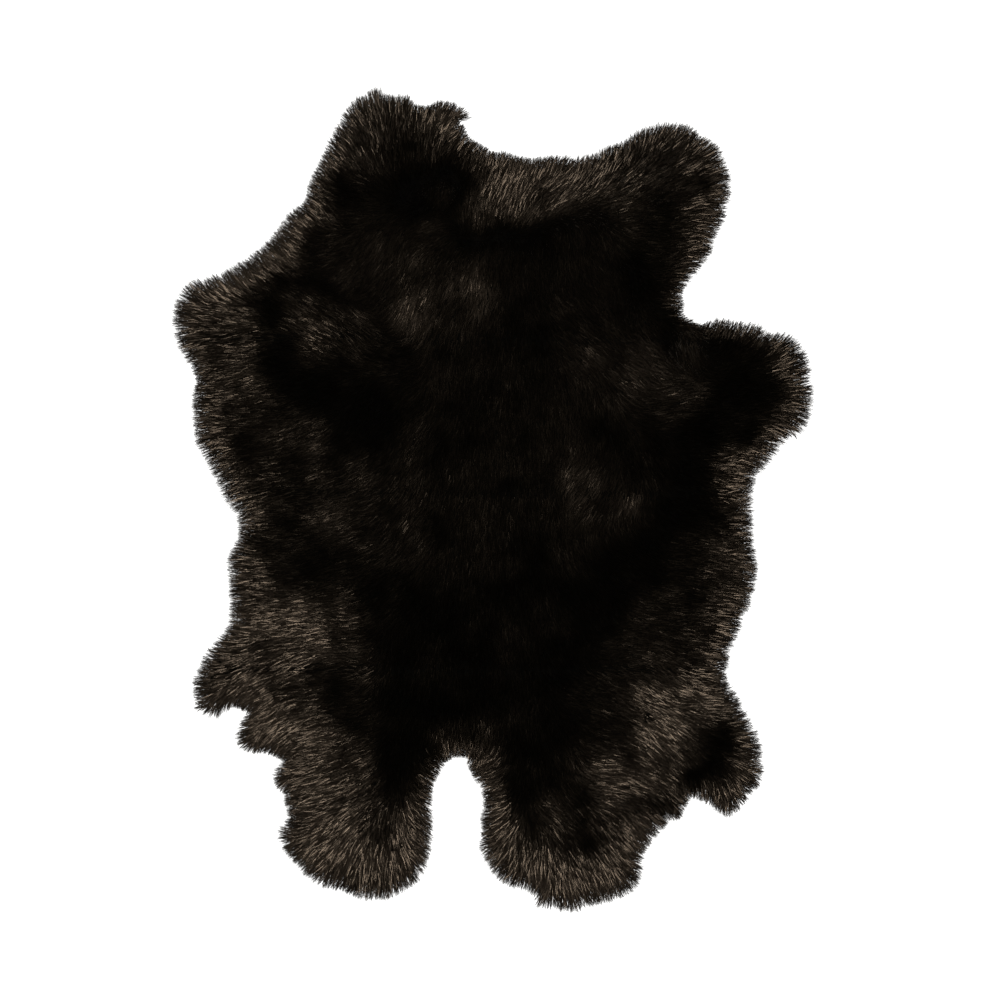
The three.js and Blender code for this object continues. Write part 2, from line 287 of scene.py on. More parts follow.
body.verts.index_update()
coarse = max(walk_loops(rim_edges), key=lambda loop: abs(signed_area(loop)))
if signed_area(coarse) < 0:
    coarse.reverse()
print("leather outline:", len(coarse), "points,", round(signed_area(coarse) / MM**2), "square mm")

# %% Step it finer
RIM_STEP = 2.4 * MM
RAGGED, RAGGED_EVERY = 0.35 * MM, 5 * MM
SHARP = math.radians(32)


def turn_at(before, here, after):
    """How sharply the outline turns at a point."""
    return abs((here - before).angle_signed(after - here, 0))


def finer(loop, step):
    """The loop with points no further apart than step, on smooth arcs between sharp corners."""
    out, count = [], len(loop)
    for i, start in enumerate(loop):
        before, end, after = loop[i - 1], loop[(i + 1) % count], loop[(i + 2) % count]
        length = (end - start).length
        out_pull = Vector((0, 0)) if turn_at(before, start, end) > SHARP else (end - before) / 2
        in_pull = Vector((0, 0)) if turn_at(start, end, after) > SHARP else (after - start) / 2
        for pull in (out_pull, in_pull):
            if pull.length > length:
                pull *= length / pull.length
        if out_pull.length == 0:
            out_pull = end - start
        if in_pull.length == 0:
            in_pull = end - start
        pieces = max(1, math.ceil(length / step))
        for k in range(pieces):
            t = k / pieces
            out.append(start * (2 * t**3 - 3 * t**2 + 1) + out_pull * (t**3 - 2 * t**2 + t)
                       + end * (3 * t**2 - 2 * t**3) + in_pull * (t**3 - t**2))
    return out


smooth_rim = finer(coarse, RIM_STEP)
rim = []
for i, point in enumerate(smooth_rim):
    along = smooth_rim[(i + 1) % len(smooth_rim)] - smooth_rim[i - 1]
    outward = Vector((along.y, -along.x)).normalized()
    waver = noise.noise((point / RAGGED_EVERY).to_3d())
    rim.append(point + outward * waver * RAGGED)
rim_xy = np.array([tuple(p) for p in rim])
print("stepped finer:", len(rim), "points")

# %% [markdown]
# ## Measuring from the rim
# Much of a pelt changes with the distance to its edge: the pile thins out, and the hair hangs
# over. For every point these helpers give that distance, and which place of the rim is nearest.
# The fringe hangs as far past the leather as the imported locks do, but for a few places, where a
# short table lets it hang further or less. Its places are pixels across and down a picture of the
# pelt from above, 1000 by 1000 pixels at half a millimetre each.

# %% Distance to the rim
def nearest_on_rim(points):
    """For each point: its distance to the rim, the rim point's number, and the nearest place."""
    a, b = rim_xy, np.roll(rim_xy, -1, 0)
    span = b - a
    share = np.einsum("pij,ij->pi", points[:, None] - a, span) / (span**2).sum(1)
    foot = a + np.clip(share, 0, 1)[..., None] * span
    gap = np.linalg.norm(points[:, None] - foot, axis=2)
    best = gap.argmin(1)
    rows = np.arange(len(points))
    return gap[rows, best], best, foot[rows, best]


def inside_rim(points):
    """Which of the points lie on the leather."""
    a, b = rim_xy, np.roll(rim_xy, -1, 0)
    x, y = points[:, :1], points[:, 1:]
    crosses = (a[:, 1] > y) != (b[:, 1] > y)
    rise = np.where(b[:, 1] == a[:, 1], NOT_ZERO, b[:, 1] - a[:, 1])
    at = a[:, 0] + (y - a[:, 1]) / rise * (b[:, 0] - a[:, 0])
    return (crosses & (x < at)).sum(1) % 2 == 1


# %% How far the fringe reaches past the leather, from the solid's locks
LOCK_PAST = 3 * MM
REACH_SPAN = 9 * MM
MIN_HANG = 1.0 * MM
solid_xy = np.array([tuple(v.co.xy) for v in body.verts])
outside = solid_xy[~inside_rim(solid_xy)]
lock_gap, lock_at, _ = nearest_on_rim(outside)
rim_hang = np.empty(len(rim_xy))
for i, point in enumerate(rim_xy):
    near = np.linalg.norm(rim_xy[lock_at] - point, axis=1) < REACH_SPAN
    rim_hang[i] = max(MIN_HANG, (lock_gap[near].max() if near.any() else 0) - LOCK_PAST)
print("fringe past the leather, mm:", round(rim_hang.min() / MM, 1), "to", round(rim_hang.max() / MM, 1))

# %% Where the fringe hangs further or less than the locks
PICTURE_MIDDLE = np.array([492.2, 501.24])
PICTURE_SCALE = np.array([0.5 * MM, -0.5 * MM])
FURTHER = [
    # across, down, millimetres further
    # right fore-leg
    (696, 316, 2.8), (728, 319, 2.2), (756, 326, 2.4), (782, 342, 2.2), (796, 432, 1.4),
    (811, 382, 1.0),
    # left flank
    (200, 462, 1.4), (212, 494, 2.0), (232, 526, 2.4), (222, 630, 1.2),
    # left shoulder
    (206, 276, 1.0), (242, 258, 1.8),
    # right flank
    (757, 480, 1.4), (752, 513, 1.4), (730, 683, 1.2),
    # neck
    (420, 108, -2.2), (392, 94, 1.6), (450, 103, -0.8), (476, 138, -1.6), (518, 155, -1.0),
    (545, 157, -1.0), (650, 128, 1.0),
    # legs
    (186, 360, -1.2), (216, 713, -1.2), (270, 768, -2.0), (284, 800, -1.4), (480, 818, -1.4),
]
FURTHER_OVER = 12 * MM

for across, down, more in FURTHER:
    spot = ((across, down) - PICTURE_MIDDLE) * PICTURE_SCALE
    away = np.linalg.norm(rim_xy - spot, axis=1)
    rim_hang += more * MM * np.clip(1 - (away - away.min()) / FURTHER_OVER, 0, 1)
rim_hang = np.maximum(rim_hang, MIN_HANG)
print("with the changes, mm:", round(rim_hang.min() / MM, 1), "to", round(rim_hang.max() / MM, 1))

# %% [markdown]
# ## Filling the outline
# A skin has no grid of its own, so the sheet is a net of points on a fine triangular lattice,
# joined to the rim by a constrained triangulation. The same net serves the leather, as two faces
# 1.2 mm apart, and the underfur, with each point lifted to its own height.

# %% The flat net
NET_STEP = 3.4 * MM
RIM_CLEAR = 0.5 * NET_STEP
NET_EXACT = 1e-7


def lattice(low, high, step):
    """Points of a triangular lattice over a box."""
    rows = np.arange(low[1], high[1], step * math.sqrt(0.75))
    columns = np.arange(low[0], high[0], step)
    return np.array([(x + (j % 2) * step / 2, y) for j, y in enumerate(rows) for x in columns])


spots = lattice(rim_xy.min(0), rim_xy.max(0), NET_STEP)
spots = spots[inside_rim(spots)]
spots = spots[nearest_on_rim(spots)[0] > RIM_CLEAR]
count = len(rim)
flat_points = rim + [Vector(spot) for spot in spots]
ring = [(i, (i + 1) % count) for i in range(count)]
made = delaunay_2d_cdt(flat_points, ring, [], 1, NET_EXACT)
net_points = np.array([tuple(p) for p in made[0]])
net_faces = [tuple(face) for face in made[2]]
print("net:", len(net_points), "points,", len(net_faces), "triangles")


def closed_sheet(name, top, bottom):
    """A closed mesh over the net, from the heights of its top and of its bottom."""
    shift = len(net_points)
    points = [(x, y, z) for (x, y), z in zip(net_points, top)]
    points += [(x, y, z) for (x, y), z in zip(net_points, bottom)]
    faces, used = [], {}
    for face in net_faces:
        a, b, c = (Vector(net_points[i]) for i in face)
        if (b - a).cross(c - a) < 0:
            face = face[::-1]
        faces.append(face)
        faces.append(tuple(i + shift for i in face[::-1]))
        for i, j in zip(face, face[1:] + face[:1]):
            used[(i, j)] = True
    # An edge that no second triangle runs back along is on the rim, and gets a wall.
    for i, j in used:
        if (j, i) not in used:
            faces.append((j, i, i + shift))
            faces.append((j, i + shift, j + shift))
    mesh = bpy.data.meshes.new(name)
    mesh.from_pydata(points, [], faces)
    mesh.polygons.foreach_set("use_smooth", [True] * len(mesh.polygons))
    mesh.validate()
    return mesh


def show(name, mesh):
    """A finished piece: an object at the origin that stands for the pelt's solid."""
    piece = bpy.data.objects.new(name, mesh)
    bpy.context.scene.collection.objects.link(piece)
    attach(piece, "root")
    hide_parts("pelt")
    return piece


edge_gap, edge_at, edge_foot = nearest_on_rim(net_points)
edge_gap[edge_gap < SAME_POINT] = 0
print("widest place, mm from the rim:", round(edge_gap.max() / MM))

# %% [markdown]
# ## The leather
# The flesh side of a tanned rabbit skin is a pale matt suede, about a millimetre thick and thinner
# at its cut edge, with faint grey clouds where dark hair roots show through and short scraped
# strokes from fleshing. It lies flat on the table and cockles by a fraction of a millimetre.

# %% Leather sheet
SKIN_THICK, SKIN_EDGE = 1.2 * MM, 0.8 * MM
THIN_OVER = 8 * MM
COCKLE, COCKLE_WIDE = 0.3 * MM, 45 * MM


def ramp01(value):
    """A smooth step from 0 to 1."""
    t = np.clip(value, 0, 1)
    return t * t * (3 - 2 * t)


def waves(points, wide, seed):
    """A smooth random height from -1 to 1 at each point, with lumps of a given width."""
    return np.array([noise.noise((x / wide, y / wide, seed)) for x, y in points])


cockle = COCKLE * (0.5 + 0.5 * waves(net_points, COCKLE_WIDE, 3.1)) * ramp01(edge_gap / THIN_OVER)
skin_top = SKIN_EDGE + (SKIN_THICK - SKIN_EDGE) * ramp01(edge_gap / THIN_OVER) + cockle
skin = closed_sheet("hide", skin_top, cockle)
skin_area = signed_area(rim)
print("leather:", len(skin.polygons), "triangles,", round(skin_area, 4), "square metres")

# %% Leather finish
suede, wire, shader = new_material("suede_flesh_side", Roughness=0.9, Specular_IOR_Level=0.25)
place = wire.node("ShaderNodeTexCoord", out="Object")
clouds = wire.node("ShaderNodeTexNoise", values={
    "Vector": place, "Scale": 14.0, "Detail": 5.0, "Roughness": 0.6})
cream = clouds.ramp([(0.32, (0.36, 0.31, 0.26)), (0.5, (0.60, 0.53, 0.44)), (0.7, (0.70, 0.64, 0.55))])
flecks = wire.node("ShaderNodeTexNoise", values={"Vector": place, "Scale": 900.0, "Detail": 2.0})
fleck = wire.node("ShaderNodeMapRange", values={0: flecks, 1: 0.35, 2: 0.62, 3: 0.72, 4: 1.0})
wire.plug(shader.inputs["Base Color"], cream.times_colour(wire.join(fleck, fleck, fleck)))
stretched = wire.node("ShaderNodeMapping", values={"Vector": place, "Scale": (1, 0.25, 1)})
strokes = wire.node("ShaderNodeTexNoise", values={"Vector": stretched, "Scale": 350.0, "Detail": 3.0})
nap = wire.node("ShaderNodeTexNoise", values={"Vector": place, "Scale": 2600.0, "Detail": 2.0})
height = strokes * 0.6 + nap * 0.4
relief = wire.node("ShaderNodeBump", values={"Strength": 0.5, "Distance": 0.5 * MM, "Height": height})
wire.plug(shader.inputs["Normal"], relief)
wire.plug(shader.inputs["Roughness"], clouds * 0.16 + 0.8)
skin.materials.append(suede)
hide = show("hide", skin)
print("made:", hide.name)

# %% [markdown]
# ## How the fur is combed
# A live rabbit's hair runs from the nose to the tail and outwards down its sides and legs, and
# a tanned skin keeps that, with swirls and standing tufts where it was handled. Each row below
# gives a place in the same picture, the way the hair points there in degrees (0 is right, 90 is
# up) and how it shines: 0 is steep black hair, 1 is hair that lies flat under the lamp. Between
# the rows both are blended, and where rows disagree the hair parts and stands up.

# %% The comb table
# High shine also colours the hair warm brown and low shine black: partly the browner belly and rim hair,
# partly painted sheen.
COMBED = [
    # across, down, way, shine
    # left neck flap
    (375, 105, 102, 0.26), (402, 120, 88, 0.24), (348, 128, 122, 0.30), (332, 160, 132, 0.55),
    (372, 150, 108, 0.28), (310, 200, 135, 0.45), (400, 155, 95, 0.20),
    # small flap
    (438, 122, 62, 0.55), (452, 142, 48, 0.65), (430, 160, 85, 0.20),
    # nape
    (470, 152, 60, 0.25), (485, 162, 70, 0.42), (503, 185, 68, 1.00), (520, 176, 62, 1.00),
    (547, 192, 30, 1.00), (510, 168, 66, 0.95), (514, 194, 66, 1.00), (505, 202, 68, 0.90),
    (553, 184, 40, 0.90), (532, 196, 60, 0.45), (562, 174, 55, 0.62), (592, 170, 52, 0.46),
    (622, 155, 48, 0.26), (478, 218, 80, 0.75),
    # right neck flap
    (650, 150, 48, 0.16), (672, 165, 26, 0.16), (692, 150, 38, 0.28), (702, 175, 16, 0.44),
    (688, 202, 16, 0.46), (704, 222, 4, 0.44), (702, 246, 2, 0.34), (686, 268, 25, 0.25),
    (640, 185, 30, 0.25), (620, 210, 12, 0.30), (655, 235, 350, 0.10), (672, 295, 350, 0.15),
    # left shoulder
    (330, 216, 140, 0.50), (288, 235, 137, 0.95), (292, 254, 140, 0.80), (268, 258, 138, 1.00),
    (238, 280, 145, 0.90),
    # left fore-leg
    (206, 292, 150, 0.42), (190, 318, 172, 0.44), (216, 312, 168, 0.40), (245, 335, 195, 0.66),
    (202, 346, 190, 0.48), (216, 370, 191, 0.50), (250, 385, 196, 0.70), (206, 402, 185, 0.46),
    (236, 412, 188, 0.46), (272, 312, 160, 0.00), (280, 360, 190, 0.00), (285, 285, 150, 0.15),
    # left breast
    (327, 337, 146, 0.62), (350, 322, 143, 0.46), (368, 343, 128, 0.40), (314, 296, 150, 0.40),
    (411, 311, 250, 1.00), (468, 278, 255, 0.85), (368, 254, 245, 0.58), (403, 252, 250, 0.58),
    (430, 238, 200, 0.55), (425, 301, 250, 0.62), (354, 279, 230, 0.50), (382, 354, 180, 0.30),
    (440, 265, 250, 0.36), (390, 280, 245, 0.34), (309, 321, 146, 0.42), (340, 250, 210, 0.30),
    (310, 390, 200, 0.00), (370, 400, 230, 0.00), (310, 447, 205, 0.60), (350, 440, 225, 0.02),
    # left flank
    (214, 450, 188, 0.42), (236, 470, 196, 0.34), (242, 500, 200, 0.32), (262, 520, 186, 0.30),
    (300, 495, 192, 0.42), (345, 490, 205, 0.42), (360, 465, 215, 0.35), (352, 510, 200, 0.38),
    (250, 455, 192, 0.20), (300, 460, 200, 0.20), (410, 520, 235, 0.30), (405, 450, 240, 0.25),
    (240, 548, 184, 0.34), (240, 572, 184, 0.28), (278, 556, 181, 0.32), (290, 588, 183, 0.52),
    (250, 592, 183, 0.35), (330, 562, 200, 0.10), (290, 540, 185, 0.25), (380, 600, 215, 0.05),
    # left belly
    (226, 638, 190, 0.45), (244, 626, 186, 0.80), (272, 622, 189, 1.00), (305, 612, 186, 0.95),
    (320, 645, 196, 1.00), (300, 665, 200, 0.80), (342, 620, 181, 0.60), (352, 662, 178, 0.55),
    (258, 650, 205, 0.38), (215, 668, 203, 0.75), (218, 690, 205, 0.85), (204, 702, 205, 0.80),
    (246, 682, 210, 0.80), (312, 686, 190, 0.30), (340, 690, 184, 0.16), (300, 702, 194, 0.76),
    (268, 712, 215, 1.00), (258, 732, 224, 1.00), (250, 746, 230, 0.80), (282, 736, 214, 1.00),
    (320, 740, 189, 0.90), (352, 712, 186, 0.45), (375, 722, 200, 0.20), (300, 762, 200, 0.80),
    (332, 770, 195, 0.75),
    # left foot
    (360, 764, 190, 0.75), (290, 806, 186, 0.65), (312, 800, 195, 0.85), (342, 788, 201, 0.80),
    (370, 788, 207, 0.60), (345, 828, 214, 0.80), (368, 812, 216, 0.60), (300, 838, 208, 0.75),
    (320, 852, 218, 0.90), (340, 864, 233, 0.95), (360, 850, 248, 0.95), (382, 862, 278, 1.00),
    (372, 885, 268, 0.60), (400, 832, 285, 0.80), (412, 852, 300, 0.70), (418, 825, 305, 0.70),
    (426, 795, 320, 0.50), (430, 768, 330, 0.40), (385, 825, 262, 0.30),
    # left thigh
    (395, 770, 262, 0.00), (390, 700, 258, 0.00), (400, 650, 262, 0.03), (415, 740, 275, 0.00),
    # over the tail
    (454, 738, 262, 0.45), (472, 756, 282, 0.30), (440, 700, 268, 0.02),
    # right foot
    (486, 768, 192, 0.80), (490, 790, 196, 0.65), (500, 802, 205, 0.75), (506, 822, 222, 0.85),
    (490, 835, 218, 0.60), (510, 845, 242, 0.85), (500, 862, 232, 0.70), (526, 852, 262, 0.80),
    (548, 866, 280, 0.90), (560, 890, 280, 0.90), (586, 888, 290, 1.00), (576, 870, 296, 0.92),
    (602, 878, 300, 1.00), (630, 878, 310, 0.85), (626, 850, 316, 0.95), (640, 830, 316, 0.95),
    (558, 824, 322, 0.55), (545, 808, 335, 0.40), (590, 840, 305, 0.25), (534, 835, 275, 0.25),
    (526, 790, 265, 0.00), (530, 745, 265, 0.00), (560, 760, 285, 0.12), (575, 800, 320, 0.25),
    # right belly
    (606, 764, 2, 0.92), (605, 790, 355, 0.92), (632, 790, 345, 0.65), (652, 776, 335, 0.50),
    (640, 745, 322, 0.85), (622, 750, 340, 0.52), (655, 720, 325, 0.95), (666, 702, 330, 1.00),
    (650, 690, 335, 0.80), (660, 678, 325, 0.80), (660, 645, 335, 0.50), (640, 660, 352, 0.45),
    (672, 746, 320, 0.80), (690, 752, 315, 0.56), (690, 702, 352, 0.80), (605, 730, 350, 0.15),
    (668, 808, 310, 0.25), (640, 806, 325, 0.25), (610, 650, 8, 0.35), (580, 690, 350, 0.15),
    # right hind flap
    (716, 740, 350, 0.00), (702, 770, 320, 0.05), (746, 735, 356, 0.65), (752, 756, 345, 0.65),
    (742, 782, 315, 0.60), (724, 792, 290, 0.50), (700, 786, 290, 0.30),
    # right flank
    (740, 500, 0, 0.42), (736, 522, 0, 0.38), (742, 546, 0, 0.32), (706, 566, 352, 0.55),
    (741, 570, 355, 0.56), (738, 590, 348, 0.34), (712, 582, 356, 0.36), (680, 560, 3, 0.26),
    (672, 602, 3, 0.24), (728, 616, 2, 0.42), (722, 642, 0, 0.42), (718, 668, 352, 0.46),
    (698, 640, 355, 0.20), (660, 618, 355, 0.25), (640, 560, 330, 0.00), (600, 600, 300, 0.00),
    # loin
    (606, 488, 240, 0.70), (584, 492, 225, 0.55), (630, 498, 250, 0.50), (645, 470, 290, 0.08),
    (640, 540, 300, 0.00), (690, 500, 340, 0.00), (700, 430, 0, 0.00), (735, 395, 0, 0.00),
    # right shoulder
    (643, 367, 322, 0.68), (602, 343, 318, 0.36), (578, 330, 312, 0.38), (668, 400, 14, 0.52),
    (690, 345, 280, 0.25),
    # right fore-leg
    (722, 334, 62, 0.20), (750, 336, 48, 0.16), (774, 347, 34, 0.20), (788, 362, 18, 0.20),
    (792, 385, 0, 0.26), (795, 402, 355, 0.24), (788, 417, 350, 0.22), (790, 430, 8, 0.24),
    (766, 446, 10, 0.38), (746, 464, 5, 0.48), (758, 380, 5, 0.05), (745, 430, 0, 0.03),
    # back
    (560, 250, 266, 0.34), (500, 260, 266, 0.36), (440, 190, 250, 0.22), (600, 240, 285, 0.28),
    (520, 350, 268, 0.25), (460, 370, 264, 0.25), (580, 410, 274, 0.25), (500, 450, 268, 0.23),
    (440, 480, 260, 0.23), (550, 500, 272, 0.23), (480, 550, 268, 0.19), (520, 620, 270, 0.10),
    (460, 620, 268, 0.08), (580, 650, 285, 0.10), (520, 690, 270, 0.05), (470, 680, 270, 0.03),
    (630, 300, 278, 0.15), (350, 200, 180, 0.10), (320, 260, 200, 0.12), (540, 730, 270, 0.08),
]
COMB_BLEND = 7 * MM
COMB_POWER = 2.2

comb = np.array(COMBED, float)
comb_place = (comb[:, :2] - PICTURE_MIDDLE) * PICTURE_SCALE
comb_way = np.radians(comb[:, 2])
print("comb table:", len(comb), "rows")


def combed(points):
    """The way, the shine and how parted the hair is, blended from the nearest rows."""
    gap = ((points[:, None] - comb_place) ** 2).sum(2) + COMB_BLEND**2
    share = gap**-COMB_POWER
    share /= share.sum(1, keepdims=True)
    way = np.stack([share @ np.cos(comb_way), share @ np.sin(comb_way)], 1)
    agreed = np.linalg.norm(way, axis=1)
    way /= np.maximum(agreed[:, None], NOT_ZERO)
    parted = np.clip(1 - agreed, 0, 1)
    return way, (share @ comb[:, 3]) * (1 - parted), parted


# %% [markdown]
# ## The underfur
# Under the long guard hair lies a dense black wool, which is what shows where the hair parts.
# Its near-black is also painted shade: the dark deep in a dense pile, where little light gets in.
# It is a closed sheet over the net, lifted to three quarters of the imported solid's pile. A copy
# of it carries, point by point, how the hair is combed there, and the hair grows from that copy.

# %% Underfur sheet
WOOL_SHARE = 0.75
WOOL_EDGE, WOOL_SUNK = 0.7 * MM, 0.1 * MM
WOOL_LUMP, WOOL_LUMP_WIDE = 0.7 * MM, 7 * MM
RAY_HEIGHT, RAY_INWARDS = 0.1, 0.999

pile = np.empty(len(net_points))
for i, (x, y) in enumerate(net_points * RAY_INWARDS):
    hit = above.ray_cast(Vector((x, y, RAY_HEIGHT)), Vector((0, 0, -1)))[0]
    pile[i] = hit.z if hit else skin_top[i] + WOOL_EDGE
pile = np.maximum(pile, skin_top + WOOL_EDGE)
lump = WOOL_LUMP * waves(net_points, WOOL_LUMP_WIDE, 8.4) * ramp01(edge_gap / THIN_OVER)
wool_top = np.maximum(skin_top + (pile - skin_top) * WOOL_SHARE + lump, skin_top + WOOL_EDGE)
wool = closed_sheet("underfur", wool_top, skin_top - WOOL_SUNK)
print("pile, mm:", round(pile.min() / MM, 1), "to", round(pile.max() / MM, 1))
print("underfur:", len(wool.polygons), "triangles")

# %% Which way the hair lies, and how steep
LOWEST, LEAN_RANGE, STAND_RANGE, STAND_POWER = 2, 25, 33, 8
PARTING_RISE = 60
PATCHY, PATCH_LEAST, PATCH_MOST = 0.3, 0.1, 4
PATCH_WIDE, FINE_PATCH_WIDE, FINE_PATCH = 16 * MM, 8 * MM, 0.7
SPLAY, SPLAY_OVER = 1.0, 10 * MM
ON_RIM = 0.5 * MM

way, shine, parted = combed(net_points)
patches = waves(net_points, PATCH_WIDE, 5.7) + FINE_PATCH * waves(net_points, FINE_PATCH_WIDE, 2.3)
shine = np.clip(shine + PATCHY * patches * (PATCH_LEAST + PATCH_MOST * shine * (1 - shine)), 0, 1)
rise = LOWEST + LEAN_RANGE * (1 - shine) + STAND_RANGE * (1 - shine) ** STAND_POWER
rise = np.radians(rise + PARTING_RISE * parted)

# Near the rim the hair turns outwards.
outward = edge_foot - net_points
norms = np.linalg.norm(outward, axis=1, keepdims=True)
along = np.roll(rim_xy, -1, 0) - np.roll(rim_xy, 1, 0)
rim_out = np.stack([along[:, 1], -along[:, 0]], 1) / np.linalg.norm(along, axis=1, keepdims=True)
outward = np.where(norms > ON_RIM, outward / np.maximum(norms, NOT_ZERO), rim_out[edge_at])
splay = (SPLAY * (1 - np.clip(edge_gap / SPLAY_OVER, 0, 1)) ** 2)[:, None]
way = way + outward * splay
way /= np.linalg.norm(way, axis=1, keepdims=True)
print("tips rise, degrees:", *(round(math.degrees(angle)) for angle in (rise.min(), rise.max())))

# %% How long the hair is, and how it leaves the skin
LONGEST, RIM_LONGER, RIM_WIDE = 7.2 * MM, 6.3 * MM, 5 * MM
PAST, PROUD = 4.4 * MM, 4 * MM
LEAST_FACING, LEAST_CLIMB = 0.8, 0.05
LEAN_LOW, LEAN_HIGH = 0.02, 0.95
FIRST_LOW, FIRST_HIGH, FIRST_SHARE = math.radians(8), math.radians(75), 0.8
FLAT_FIRST = math.radians(8)
RIM_DROOP, RIM_DROOP_OVER = math.radians(17), 7 * MM

# No hair reaches far past the rim's locks, or far above the solid's pile.
facing_out = np.clip((way * outward).sum(1), 0, 1)
room_out = (edge_gap + rim_hang[edge_at] + PAST) / np.maximum(facing_out, LEAST_FACING)
stand = pile - wool_top
near_rim = 1 - np.clip(edge_gap / RIM_WIDE, 0, 1)
length = np.minimum(LONGEST + RIM_LONGER * near_rim, room_out)
length = np.minimum(length, (stand + PROUD) / np.maximum(np.sin(rise), LEAST_CLIMB))

# The foot's angle brings the tip out at about the pile's height. Hair that shines leaves the
# skin flat too, and at the rim all of it droops over the edge.
lean = np.arcsin(np.clip(stand / length, LEAN_LOW, LEAN_HIGH))
first = np.clip(2 * lean - rise, FIRST_LOW, FIRST_HIGH)
first = np.maximum(first, rise * FIRST_SHARE)
first += (np.minimum(first, FLAT_FIRST) - first) * shine
rim_droop = RIM_DROOP * (1 - np.clip(edge_gap / RIM_DROOP_OVER, 0, 1))
first, rise = first - rim_droop, rise - rim_droop
print("hair at its longest, mm:", round(length.min() / MM, 1), "to", round(length.max() / MM, 1))

# %% Carry the combing on the sheet
def carry(mesh, name, kind, top, bottom):
    """Stores a value for each point of a sheet over the net: its top's points, then its bottom's."""
    layer = mesh.attributes.new(name, kind, "POINT")
    both = np.concatenate([top, bottom]).astype(np.float32)
    layer.data.foreach_set("vector" if kind == "FLOAT_VECTOR" else "value", both.ravel())


grown_from = wool.copy()
combing = np.column_stack([way, shine])
bending = np.column_stack([first, rise, length])
bare = np.zeros(len(net_points))
carry(grown_from, "way", "FLOAT_VECTOR", combing, combing)
carry(grown_from, "bend", "FLOAT_VECTOR", bending, bending)
carry(grown_from, "cover", "FLOAT", bare + 1, bare)
carry(grown_from, "fringe", "FLOAT", near_rim, bare)
print("carried:", [layer.name for layer in grown_from.attributes if layer.name.isalpha()])

# %% Underfur finish
wool_black_and_shade, wire, shader = new_material("black_wool", Roughness=0.9, Specular_IOR_Level=0.02)
place = wire.node("ShaderNodeTexCoord", out="Object")
tufts = wire.node("ShaderNodeTexNoise", values={"Vector": place, "Scale": 160.0, "Detail": 4.0})
# The wool's black is set near zero: partly its own colour, partly painted shade of the deep pile.
blacks = tufts.ramp([(0.3, (0.0003, 0.0003, 0.00015)), (0.7, (0.0015, 0.0012, 0.0008))])
wire.plug(shader.inputs["Base Color"], blacks)
fibres = wire.node("ShaderNodeTexNoise", values={"Vector": place, "Scale": 1400.0, "Detail": 2.0})
relief = wire.node("ShaderNodeBump", values={"Strength": 0.8, "Distance": 0.6 * MM, "Height": fibres})
wire.plug(shader.inputs["Normal"], relief)
wool.materials.append(wool_black_and_shade)
underfur = show("underfur", wool)
print("made:", underfur.name)

# %% [markdown]
# ## One hair
# A hair is a long thin cone, widest at its foot and drawn out to a point. From half a metre away
# three flat sides are enough. It is modelled standing on the origin, one unit high, and the hair
# tree sizes and bends it. So many hairs have to be light: the short ones of the coat are one
# plain spike of four triangles, and those of the fringe have one more step, so that they curve.

# %% Strands
def strand(name, steps, taper):
    """An upright strand one unit high, three-sided and closed, with a ring of points at each step."""
    points, faces = [], [(2, 1, 0)]
    for height in steps:
        wide = (1 - height) ** taper
        for k in range(3):
            turn = math.tau * k / 3
            points.append((wide * math.cos(turn), wide * math.sin(turn), height))
    for row in range(len(steps) - 1):
        for k in range(3):
            a, b = 3 * row + k, 3 * row + (k + 1) % 3
            faces += [(a, b, b + 3), (a, b + 3, a + 3)]
    points.append((0, 0, 1))
    last = 3 * (len(steps) - 1)
    faces += [(last + k, last + (k + 1) % 3, len(points) - 1) for k in range(3)]
    mesh = bpy.data.meshes.new(name)
    mesh.from_pydata(points, [], faces)
    piece = bpy.data.objects.new(name, mesh)
    bpy.context.scene.collection.objects.link(piece)
    return piece


TAPER = 0.25
coat_strand = strand("coat_strand", (0,), TAPER)
fringe_strand = strand("fringe_strand", (0, 0.7), TAPER)
print("triangles a hair:", len(coat_strand.data.polygons), "and", len(fringe_strand.data.polygons))

# %% [markdown]
# ## The hair tree
# Geometry Nodes grow the hair. Points are scattered over the underfur, each one reads how it is
# combed there and draws its own small differences, and a strand is put on each. Once the strands
# are real geometry, every point of one is moved to its place on an arc: it leaves the skin at the
# first angle, ends at the rise, and its tip is drawn towards the middle of its lock.

# %% How much single hairs differ
HAIR_MAP = "OFBake"
# On its map a strand reaches this far either way, and stays this far from the ends.
MAP_WIDE, MAP_LOW = 0.012, 0.03
CLEAR_OF_TABLE = 0.45 * MM
# The scales of two noises, in lumps to the metre.
SWIRLS, RUFFLES = 45.0, 110.0
# A lock and a swirl turn the hair aside, as so many times its tousle, and it curls by itself.
LOCK_TURN, SWIRL_TURN, CURL = 1.4, 2.0, 0.2
# A hair, its lock and the ruffles lift the tip, most where the hair is half flat.
LIFT_LEAST, LIFT_MOST, LOCK_LIFT, RUFFLE_LIFT = -0.10, 0.14, 0.25, 0.9
LIFT_ALWAYS, LIFT_HALF_FLAT = 0.5, 1.8
# A hair and its lock lift the foot.
FOOT_LIFT, LOCK_FOOT_LIFT = 0.15, 0.15
LENGTH_MOST = 1.06
THINNEST, THICKEST = 0.7, 1.25
HAIR_SHADE, SWIRL_SHADE = 0.16, 0.3
GATHER_POWER = 1.5

